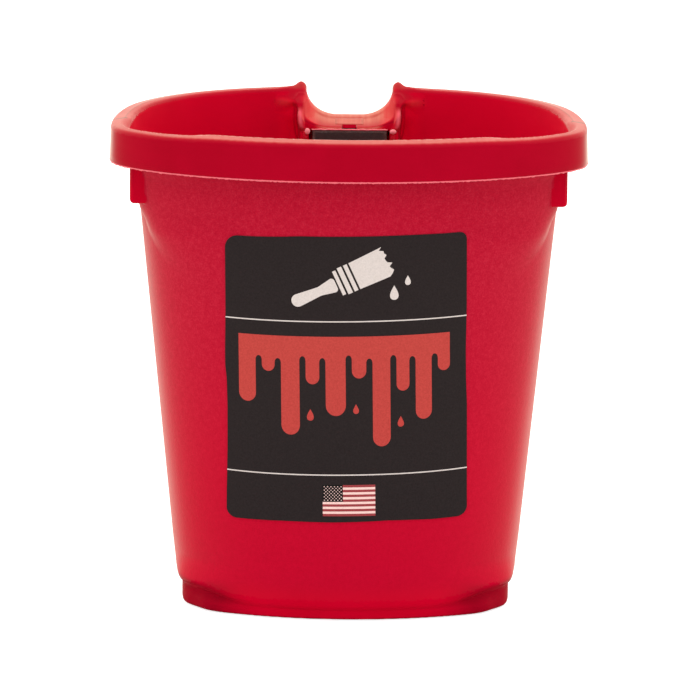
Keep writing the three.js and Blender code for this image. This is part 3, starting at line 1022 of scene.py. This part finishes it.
# join the details to the moulding
all_v = [v]
all_f = list(faces)
base = len(v)
for pv, pf in zip(parts_v, parts_f):
    all_v.append(pv)
    all_f += [tuple(i + base for i in f) for f in pf]
    base += len(pv)
all_v = np.concatenate(all_v)
cup_mesh = make_mesh("cup_body_moulding", all_v, all_f)
shade_smooth(cup_mesh)
n_body = len(v)
vn = np.empty(len(all_v) * 3, np.float32)
cup_mesh.vertices.foreach_get("normal", vn)
vn = vn.reshape(-1, 3)
vn[:n_body] = normals
cup_mesh.normals_split_custom_set_from_vertices([tuple(q) for q in vn])


def attribute(me, name, values):
    a = me.attributes.new(name, "FLOAT", "POINT")
    a.data.foreach_set("value", np.asarray(values, np.float32))


# painted highlight down the rounded ribs beside the boss
painted_rib_highlight = (0.6 * np.exp(-((np.abs(v[:, 0]) - rib_at(v[:, 2]) - 0.15) / 0.55) ** 2) * smooth(119.4, 118.0, v[:, 2]) * smooth(112.6, 115.6, v[:, 2])
         * smooth(39.5, 38.2, v[:, 1] - 0.30 * np.maximum(0, v[:, 2] - 115.5) ** 1.6) * (v[:, 1] > 35.0))
flash_and_highlight_w = np.concatenate([painted_rib_highlight] + [np.full(len(p), w) for p, w in zip(parts_v, parts_flash_and_highlight)])
rest = len(all_v) - n_body
attribute(cup_mesh, "grain", np.concatenate([grained, np.zeros(rest)]))
# painted reflection: the grained red grows paler with height
attribute(cup_mesh, "painted_haze", smooth(12.0, 95.0, all_v[:, 2]))
# painted light: a brighter base red on the inside wall, stronger near the boss
painted_inside_light = (smooth(0.30, 0.85, inward) * smooth(12.0, 18.0, v[:, 2])
               * smooth(0.65, 0.2, normals[:, 2]) * (1.0 - 0.15 * smooth(17.0, 13.0, np.abs(v[:, 0])) * smooth(30.0, 36.0, v[:, 1])))
low_foot = (foot_h < 16.0) & (v[:, 2] < 16.0) & (normals[:, 2] > -0.7) & (inward < 0.2)
near_boss = smooth(20.0, 14.5, np.abs(v[:, 0])) * smooth(32.0, 37.0, v[:, 1])
notch_side = (smooth(13.3, 12.3, np.abs(v[:, 0])) * (v[:, 1] > 37.0) * (v[:, 1] < 50.0) * (v[:, 2] > 114.0)
              * smooth(123.2, 121.4, v[:, 2]))
bright = 0.156 + (0.375 + 0.34 * near_boss) * painted_inside_light
# painted shade darkens the boss's front above the magnet; the notch's flanks are given painted light below
facing = smooth(0.45, 0.8, -normals[:, 1])
patch = (facing * (np.abs(v[:, 0]) < 13.0) * (v[:, 1] > 35.0) * (v[:, 1] < 42.0) * smooth(113.0, 113.6, v[:, 2])
         * smooth(120.0, 117.6, v[:, 2]))
bright = bright - 0.36 * patch * smooth(6.5, 9.0, np.abs(v[:, 0]))
# painted light on the lugs, which sit in the rim's shade, and on the notch's flanks
bright = np.maximum(bright, 0.456 * on_lug)
bright = np.maximum(bright, 0.5 * notch_side * (1.0 - facing) * smooth(6.0, 9.5, np.abs(v[:, 0])))
# painted light on the foot's middle; its sides stay darker as painted shade
bright = np.where(low_foot, np.clip(0.66 * smooth(-14.5, -20.5, v[:, 1]), 0.02, 1.0), bright)
# painted light on the rails beside the magnet
rv = all_v[n_body:]
beside = ((np.abs(rv[:, 0]) > 9.9) & (np.abs(rv[:, 0]) < 13.0) & (rv[:, 1] > 35.0) & (rv[:, 1] < 39.2) & (rv[:, 2] > 94.0)
          & (flash_and_highlight_w[n_body:] < 0.5))
attribute(cup_mesh, "inner", np.concatenate([bright, np.where(beside, 0.6, 0.156)]))
# painted highlight on the ramp, its crest and front lip and the notch's flanks, which face the light from above; the
# streaks in the material stand for rubbing
rub_and_highlight = (smooth(0.55, 0.85, normals[:, 2]) * (np.abs(v[:, 0]) < 14) * smooth(36.5, 37.5, v[:, 1]) * (v[:, 1] < 47.5)
          * smooth(112.0, 114.0, v[:, 2]) * (v[:, 2] < 119.5))
# the pad down the ramp is painted paler, partly as a highlight
pad_w = np.concatenate([np.full(len(p), 0.5 if i == pad_at else 0.0) for i, p in enumerate(parts_v)])
side_x = np.abs(v[:, 0])
rub_and_highlight = rub_and_highlight * (0.05 + 1.05 * smooth(37.2, 42.0, v[:, 1])) * (1.0 - 0.6 * smooth(6.5, 10.5, side_x))
rub_and_highlight = rub_and_highlight + 0.42 * (smooth(0.25, 0.6, -normals[:, 0] * np.sign(v[:, 0])) * smooth(13.4, 12.6, side_x) * (v[:, 1] > 37.0)
                          * (v[:, 1] < 48.5) * (1.0 - facing) * smooth(113.5, 114.5, v[:, 2]) * smooth(122.6, 119.6, v[:, 2]))
rub_and_highlight = np.maximum(rub_and_highlight, 0.85 * facing * smooth(9.0, 6.5, side_x) * (v[:, 1] > 36.0) * (v[:, 1] < 38.4) * (v[:, 2] > 113.85)
                    * (v[:, 2] < 116.0))
# painted highlight: a soft spot on the inside wall beside the boss
rub_and_highlight = rub_and_highlight + 0.2 * (inward > 0.3) * np.exp(-((side_x - 16.6) / 2.0) ** 2 - ((v[:, 2] - 120.0) / 0.9) ** 2) * (v[:, 1] > 34.0)
# painted highlight on the front rim's upward faces
rub_and_highlight = 0.5 * rub_and_highlight + 0.16 * smooth(0.75, 0.95, normals[:, 2]) * (v[:, 2] > 121.0) * smooth(-12.0, -22.0, v[:, 1])
# painted highlight on the tops of the horns
rub_and_highlight = rub_and_highlight + 0.12 * smooth(122.9, 123.9, v[:, 2]) * smooth(17.0, 13.5, side_x) * (v[:, 1] > 30.0)
attribute(cup_mesh, "wear_and_highlight", np.concatenate([rub_and_highlight, pad_w]))
attribute(cup_mesh, "flash_and_highlight", flash_and_highlight_w)
attribute(cup_mesh, "plan_a", np.concatenate([half, np.zeros(rest)]))
cup = make_object("cup_body_moulding", cup_mesh, MAT_RED)
cup_mesh.materials.append(MAT_RED_IN)
within = ((inward > np.where(v[:, 2] > 120.3, 0.86, 0.45)) & (v[:, 2] > 6.0)) | ((outside < -1.0) & (v[:, 2] > 3.0) & (v[:, 2] < 20.0) & (normals[:, 2] > 0.0))
within |= (foot_h < 6.9 - 0.4 * foot_mid + 1.5 * smooth(40.5, 37.0, np.abs(v[:, 0])) * (v[:, 1] < 0.0)) | on_lug
within |= (np.abs(v[:, 0]) < 17.0) & (v[:, 1] > 33.0) & (v[:, 1] < 43.5) & (v[:, 2] > 50.0) & (normals[:, 2] < 0.5)
within = np.concatenate([within, beside])
start = np.empty(len(cup_mesh.polygons), np.int32)
total = np.empty(len(cup_mesh.polygons), np.int32)
cup_mesh.polygons.foreach_get("loop_start", start)
cup_mesh.polygons.foreach_get("loop_total", total)
corner = np.empty(len(cup_mesh.loops), np.int32)
cup_mesh.loops.foreach_get("vertex_index", corner)
hits = np.add.reduceat(within[corner].astype(int), start)
cup_mesh.materials.append(MAT_RED_BAND)
band = (outside > 4.4) & (v[:, 2] > 113.0) & (normals[:, 2] < 0.30) & (inward < -0.3)
band = np.concatenate([band, np.zeros(rest, bool)])
bands = np.add.reduceat(band[corner].astype(int), start)
finish = np.where(bands * 2 > total, 2, np.where(hits * 2 > total, 1, 0))
cup_mesh.polygons.foreach_set("material_index", finish.astype(np.int32))
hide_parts("cup_body")

# -------------------------------------------------------------------- magnet


def magnet_mesh():
    w, t, h = MAG["w"], MAG["t"], MAG["h"]
    lo = (0.1 - w / 2, MAG["front"], MAG["top"] - h)
    hi = (0.1 + w / 2, MAG["front"] + t, MAG["top"])
    bm = bmesh.new()
    bmesh.ops.create_cube(bm, size=1.0)
    c = [(a + b) / 2 for a, b in zip(lo, hi)]
    for q in bm.verts:
        q.co = Vector((q.co.x * w + c[0], q.co.y * t + c[1], q.co.z * h + c[2]))
    bmesh.ops.bevel(bm, geom=bm.edges[:], offset=0.35, segments=3, affect="EDGES", profile=0.6)
    bmesh.ops.triangulate(bm, faces=bm.faces[:])
    for _ in range(5):
        long = [e for e in bm.edges if e.calc_length() > 0.7]
        if not long:
            break
        bmesh.ops.subdivide_edges(bm, edges=long, cuts=1)
        bmesh.ops.triangulate(bm, faces=bm.faces[:])
    pv = np.array([q.co for q in bm.verts])
    g = np.random.default_rng(21)
    # pressed-powder faces: shallow pits, chipped edges
    d = np.stack([np.minimum(pv[:, i] - lo[i], hi[i] - pv[:, i]) for i in range(3)], -1)
    ds = np.sort(d, 1)
    edge = 1 - smooth(0.15, 0.7, ds[:, 1])
    chips = g.uniform(size=len(pv))
    inward = (np.array(c)[None] - pv)
    inward /= np.maximum(np.linalg.norm(inward, axis=1), 1e-6)[:, None]
    pv = pv + inward * (edge * np.where(chips > 0.86, 0.22, 0.03))[:, None]
    pf = [[x.index for x in f.verts] for f in bm.faces]
    bm.free()
    me = make_mesh("brush_magnet_bar", pv, pf)
    shade_smooth(me)
    attribute(me, "edge", edge)
    return me


mag = make_object("brush_magnet_bar", magnet_mesh(), MAT_FERRITE)
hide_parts("brush_magnet")

# --------------------------------------------------------------------- label

LAB = dict(w=59.8, h=72.8, r=2.5, xc=-0.28, zc=62.3, tilt=math.radians(0.95), sag=0.35)
LAB_BACK, LAB_FACE, INK = 0.05, 0.22, 0.25


def on_wall(u, w, lift):
    """Label coordinates (right, up) to the front wall."""
    ct, st = math.cos(LAB["tilt"]), math.sin(LAB["tilt"])
    x = LAB["xc"] + u * ct - w * st
    z = LAB["zc"] + u * st + w * ct + LAB["sag"] * (u / 30.0) ** 2
    y = front_y(x, z, lift)
    return np.stack([x, y, z], -1)


def cut_outline(loops, du, dw):
    """Fills closed outlines and cuts them along a grid so they can follow the wall."""
    bm = bmesh.new()
    for loop in loops:
        vs = [bm.verts.new((p[0], p[1], 0)) for p in loop]
        bm.faces.new(vs)
    lo = np.min([np.min(l, 0) for l in loops], 0)
    hi = np.max([np.max(l, 0) for l in loops], 0)
    for axis, step in ((0, du), (1, dw)):
        if not step:
            continue
        k = math.ceil(lo[axis] / step)
        while k * step < hi[axis]:
            co = [0, 0, 0]
            no = [0, 0, 0]
            co[axis] = k * step
            no[axis] = 1
            bmesh.ops.bisect_plane(bm, geom=bm.verts[:] + bm.edges[:] + bm.faces[:], dist=1e-5,
                                   plane_co=co, plane_no=no)
            k += 1
    bmesh.ops.triangulate(bm, faces=[f for f in bm.faces if len(f.verts) > 4])
    bmesh.ops.recalc_face_normals(bm, faces=bm.faces[:])
    pts = np.array([q.co[:2] for q in bm.verts])
    pf = []
    for f in bm.faces:
        ids = [q.index for q in f.verts]
        if f.normal.z < 0:
            ids = ids[::-1]
        pf.append(ids)
    bm.free()
    return pts, pf


def sheet_mesh(name, loops, du, dw, back, face):
    """A thin closed sheet on the wall, from back to face above it."""
    pts, pf = cut_outline(loops, du, dw)
    front = on_wall(pts[:, 0], pts[:, 1], face)
    rear = on_wall(pts[:, 0], pts[:, 1], back)
    n = len(pts)
    count = {}
    for f in pf:
        for a, b in zip(f, f[1:] + f[:1]):
            count[(a, b)] = count.get((a, b), 0) + 1
    sides = [(a, a + n, b + n, b) for (a, b) in count if (b, a) not in count]
    fs = [list(f) for f in pf] + [[i + n for i in reversed(f)] for f in pf] + [list(s) for s in sides]
    me = make_mesh(name, np.concatenate([front, rear]), fs)
    bm = bmesh.new()
    bm.from_mesh(me)
    bmesh.ops.recalc_face_normals(bm, faces=bm.faces[:])
    bm.to_mesh(me)
    bm.free()
    return me


W2, H2 = LAB["w"] / 2, LAB["h"] / 2
label_outline = fillet([
    (-30.2, -36.75, 2.9), (-25, -36.7, 0), (-15, -36.53, 0), (-4, -36.65, 0), (3, -36.55, 0), (10, -36.4, 0),
    (16, -36.55, 0), (21, -36.8, 0), (30.05, -36.87, 2.5),
    (30.05, -29.7, 0), (30.1, -19, 0), (30.15, -8, 0), (29.95, -1.3, 0), (29.93, 6, 0), (30.2, 16.8, 0), (30.32, 36.15, 1.8),
    (25, 36.2, 0), (20, 36.3, 0), (14, 36.38, 0), (-11.4, 36.4, 0), (-15, 36.17, 0), (-18.5, 36.02, 0), (-22, 35.9, 0),
    (-29.73, 35.75, 3.2), (-29.8, 16.8, 0), (-30.05, 6, 0), (-30.05, 2.6, 0), (-29.7, -1.2, 0), (-29.6, -8, 0),
    (-29.73, -19, 0), (-30.05, -29.7, 0)], 8)
lab = make_object("front_label_film", sheet_mesh("front_label_film", [label_outline], 1.0, 6.0, LAB_BACK, LAB_FACE),
                  MAT_LABEL)
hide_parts("front_label")


def rect(u0, w0, u1, w1):
    return [(u0, w0), (u1, w0), (u1, w1), (u0, w1)]


def ink(name, loops, material, du=1.5, dw=6.0, lift=INK):
    me = sheet_mesh(name, loops, du, dw, LAB_FACE - 0.05, lift)
    ob = make_object(name, me, material)
    return ob


# two fine white rules across the label
ink("label_rules", [rect(-29.82, 14.67, 30.15, 14.97), rect(-29.88, -24.60, 30.05, -24.30)], MAT_WHITE)

# a striped flag with a starred corner
FL = dict(u0=-6.02, u1=7.12, w0=-35.05, w1=-27.0)
hs = (FL["w1"] - FL["w0"]) / 13
white_loops, red_loops = [], []
cu = FL["u0"] + 5.05
for i in range(13):
    w0 = FL["w1"] - (i + 1) * hs
    u0 = cu if i < 7 else FL["u0"]
    (red_loops if i % 2 == 0 else white_loops).append(rect(u0, w0 + 0.01, FL["u1"], w0 + hs - 0.01))
for i in range(9):
    n = 6 if i % 2 == 0 else 5
    wv = FL["w1"] - 7 * hs * (i + 1) / 10
    for k in range(n):
        uv = FL["u0"] + 5.05 * ((2 * k + 1) / 12 if n == 6 else (2 * k + 2) / 12)
        pts = []
        for j in range(10):
            rr = 0.185 if j % 2 == 0 else 0.10
            an = math.pi / 2 + j * math.pi / 5
            pts.append((uv + rr * math.cos(an), wv + rr * math.sin(an)))
        white_loops.append(pts)
ink("label_flag_dark", [rect(FL["u0"], FL["w1"] - 7 * hs, cu, FL["w1"])], MAT_BLACKINK, lift=INK - 0.015)
ink("label_flag_pale", white_loops, MAT_FLAG)
ink("label_flag_red", red_loops, MAT_DARKRED)

# upper panel: a flat brush and drops
ca, sa = math.cos(math.radians(24)), math.sin(math.radians(24))


def place(pts, cx, cy, k=1.0):
    return [(cx + k * (p[0] * ca - p[1] * sa), cy + k * (p[0] * sa + p[1] * ca)) for p in pts]


gb = np.random.default_rng(31)
bristle = [(3.0, -3.6), (3.0, 3.6)]
tipx = np.linspace(3.9, -3.9, 14)
for i, yv in enumerate(tipx):
    bristle.append((11.3 + gb.uniform(-0.5, 0.9) + 0.8 * (1 - (yv / 3.9) ** 2), yv))
handle = fillet([(-2.0, 2.0, 0.8), (-6.5, 1.15, 3), (-14.0, 1.75, 1.7), (-14.0, -1.75, 1.7), (-6.5, -1.15, 3), (-2.0, -2.0, 0.8)], 6)
upper = [place(bristle, -0.4, 25.2), place(rect(1.5, -3.6, 2.5, 3.6), -0.4, 25.2),
         place(rect(-0.2, -3.6, 1.0, 3.6), -0.4, 25.2), place(rect(-1.6, -3.3, -0.7, 3.3), -0.4, 25.2),
         place([tuple(q) for q in handle], -0.4, 25.2)]


def drop_shape(cx, cy, r):
    pts = []
    for i in range(28):
        t = 2 * math.pi * i / 28
        s = math.sin(t / 2)
        pts.append((cx + r * math.sin(t) * s ** 1.4, cy + r * 1.25 * math.cos(t)))
    return pts


upper += [drop_shape(12.2, 22.0, 1.5), drop_shape(15.6, 25.0, 1.0)]
ink("label_brush_motif", upper, MAT_WHITE)

# middle panel: a coat of paint that runs down in drips
lanes = [(4.2, 17.0, 6.4), (3.2, 9.0, 6.9), (4.6, 25.0, 6.2), (3.4, 12.0, 6.6), (5.0, 20.0, 5.9),
         (3.6, 10.5, 6.8), (4.4, 28.0, 6.1), (3.2, 14.0, 6.6), (4.0, 21.5, 6.3), (3.0, 9.5, 6.9)]
top_w, gap = 11.0, 1.55
span = sum(l[0] for l in lanes) + gap * (len(lanes) - 1)
u_at = -0.35 - span / 2
coat = [(u_at, top_w)]
for i, (wd, ln, arch) in enumerate(lanes):
    r = wd / 2
    end = top_w - ln
    for k in range(17):
        t = math.pi * k / 16
        coat.append((u_at + r - r * math.cos(t), end + r - r * 1.1 * math.sin(t)))
    u_at += wd
    if i + 1 < len(lanes):
        for k in range(11):
            t = math.pi * k / 10
            coat.append((u_at + gap / 2 - gap / 2 * math.cos(t), top_w - arch + gap * 0.75 * math.sin(t)))
        u_at += gap
coat.append((u_at, top_w))
ink("label_paint_motif", [coat, drop_shape(-8.9, -9.0, 1.2), drop_shape(13.6, -11.0, 1.1), drop_shape(2.5, -7.5, 1.0)],
    MAT_REDINK)

# ------------------------------------------------------------- stage, camera

floor_me = bpy.data.meshes.new("studio_floor")
bm = bmesh.new()
bmesh.ops.create_grid(bm, x_segments=8, y_segments=8, size=4.0)
bm.to_mesh(floor_me)
bm.free()
floor = bpy.data.objects.new("studio_floor", floor_me)
floor.location = (0, 0, -0.0002)
bpy.context.scene.collection.objects.link(floor)
fm, N, L = new_material("pale_floor")
fo = N.new("ShaderNodeOutputMaterial")
fb = N.new("ShaderNodeBsdfDiffuse")
fb.inputs[0].default_value = (0.58, 0.60, 0.64, 1)
fe = N.new("ShaderNodeEmission")
fe.inputs[0].default_value = (1, 1, 1, 1)
fe.inputs[1].default_value = 0.75
fa = N.new("ShaderNodeAddShader")
L.new(fb.outputs[0], fa.inputs[0])
L.new(fe.outputs[0], fa.inputs[1])
L.new(fa.outputs[0], fo.inputs[0])
floor_me.materials.append(fm)
floor.visible_diffuse = False
floor.visible_glossy = False
floor.visible_shadow = False

# the table top itself, seen by the cup and not by the camera
table = bpy.data.objects.new("studio_table", floor_me.copy())
table.location = (0, 0, -0.0004)
bpy.context.scene.collection.objects.link(table)
tm, N, L = new_material("pale_table")
to = N.new("ShaderNodeOutputMaterial")
tb = N.new("ShaderNodeBsdfDiffuse")
tb.inputs[0].default_value = (0.65, 0.65, 0.65, 1)
L.new(tb.outputs[0], to.inputs[0])
table.data.materials.clear()
table.data.materials.append(tm)
table.visible_camera = False

# a light tent on a lit table: bright behind and at the sides, dim on the camera's side
world = bpy.data.worlds.new("studio")
bpy.context.scene.world = world
world.use_nodes = True
WN, WL = world.node_tree.nodes, world.node_tree.links
wb = WN["Background"]
wd_ = WN.new("ShaderNodeTexCoord").outputs["Generated"]
ws = WN.new("ShaderNodeSeparateXYZ")
WL.new(wd_, ws.inputs[0])


def by_axis(axis, stops):
    r = ramp(WN, stops)
    WL.new(math_node(WN, WL, "MULTIPLY_ADD", ws.outputs[axis], 0.5), r.inputs[0])
    WN[-1].inputs[2].default_value = 0.5
    return r.outputs[0]


tent = by_axis(1, [(0.0, grey(1.0)), (0.15, grey(1.05)), (0.41, grey(1.1)), (0.6, grey(2.1)), (1.0, grey(2.3))])
below = by_axis(2, [(0.0, grey(1.0)), (0.45, grey(1.0)), (0.70, grey(1.0)), (1.0, grey(1.1))])
behind = by_axis(1, [(0.0, grey(0.0)), (0.45, grey(0.0)), (0.60, grey(1.0)), (1.0, grey(1.0))])
above = by_axis(2, [(0.0, grey(0.0)), (0.50, grey(0.0)), (0.56, grey(1.0)), (1.0, grey(1.0))])
warm = mix_colour(WN, WL, math_node(WN, WL, "MULTIPLY", behind, above), (1, 1, 1, 1), (1.0, 0.96, 0.76, 1))
lit = mix_colour(WN, WL, 1.0, mix_colour(WN, WL, 1.0, tent, below, "MULTIPLY"), warm, "MULTIPLY")
WL.new(lit, wb.inputs[0])
wb.inputs[1].default_value = 1.0


def softbox(name, at, target, size, power):
    la = bpy.data.lights.new(name, "AREA")
    la.shape = "RECTANGLE"
    la.size, la.size_y = size
    la.energy = power
    ob = bpy.data.objects.new(name, la)
    ob.location = at
    d = Vector(target) - Vector(at)
    ob.rotation_euler = d.to_track_quat("-Z", "Y").to_euler()
    bpy.context.scene.collection.objects.link(ob)
    return ob


softbox("top_box", (0, -0.25, 1.5), (0, 0, 0.06), (1.2, 1.2), 4)

E = math.radians(12.2)
aim = Vector((0.000703, -0.02094, 0.064489))
cam_data = bpy.data.cameras.new("photo_camera")
cam_data.sensor_width = 36.0
cam_data.lens = 7146.0 / 700.0 * 36.0
cam_data.clip_start = 0.05
cam_data.clip_end = 50.0
cam = bpy.data.objects.new("photo_camera", cam_data)
eye = aim + 1.8 * Vector((0, -math.cos(E), math.sin(E)))
look = (aim - eye).to_track_quat("-Z", "Y").to_matrix().to_4x4()
cam.matrix_world = Matrix.Translation(eye) @ look @ Matrix.Rotation(math.radians(0.504), 4, "Z")
bpy.context.scene.collection.objects.link(cam)
bpy.context.scene.camera = cam

bpy.context.scene.view_settings.view_transform = "Standard"
bpy.context.scene.view_settings.look = "None"
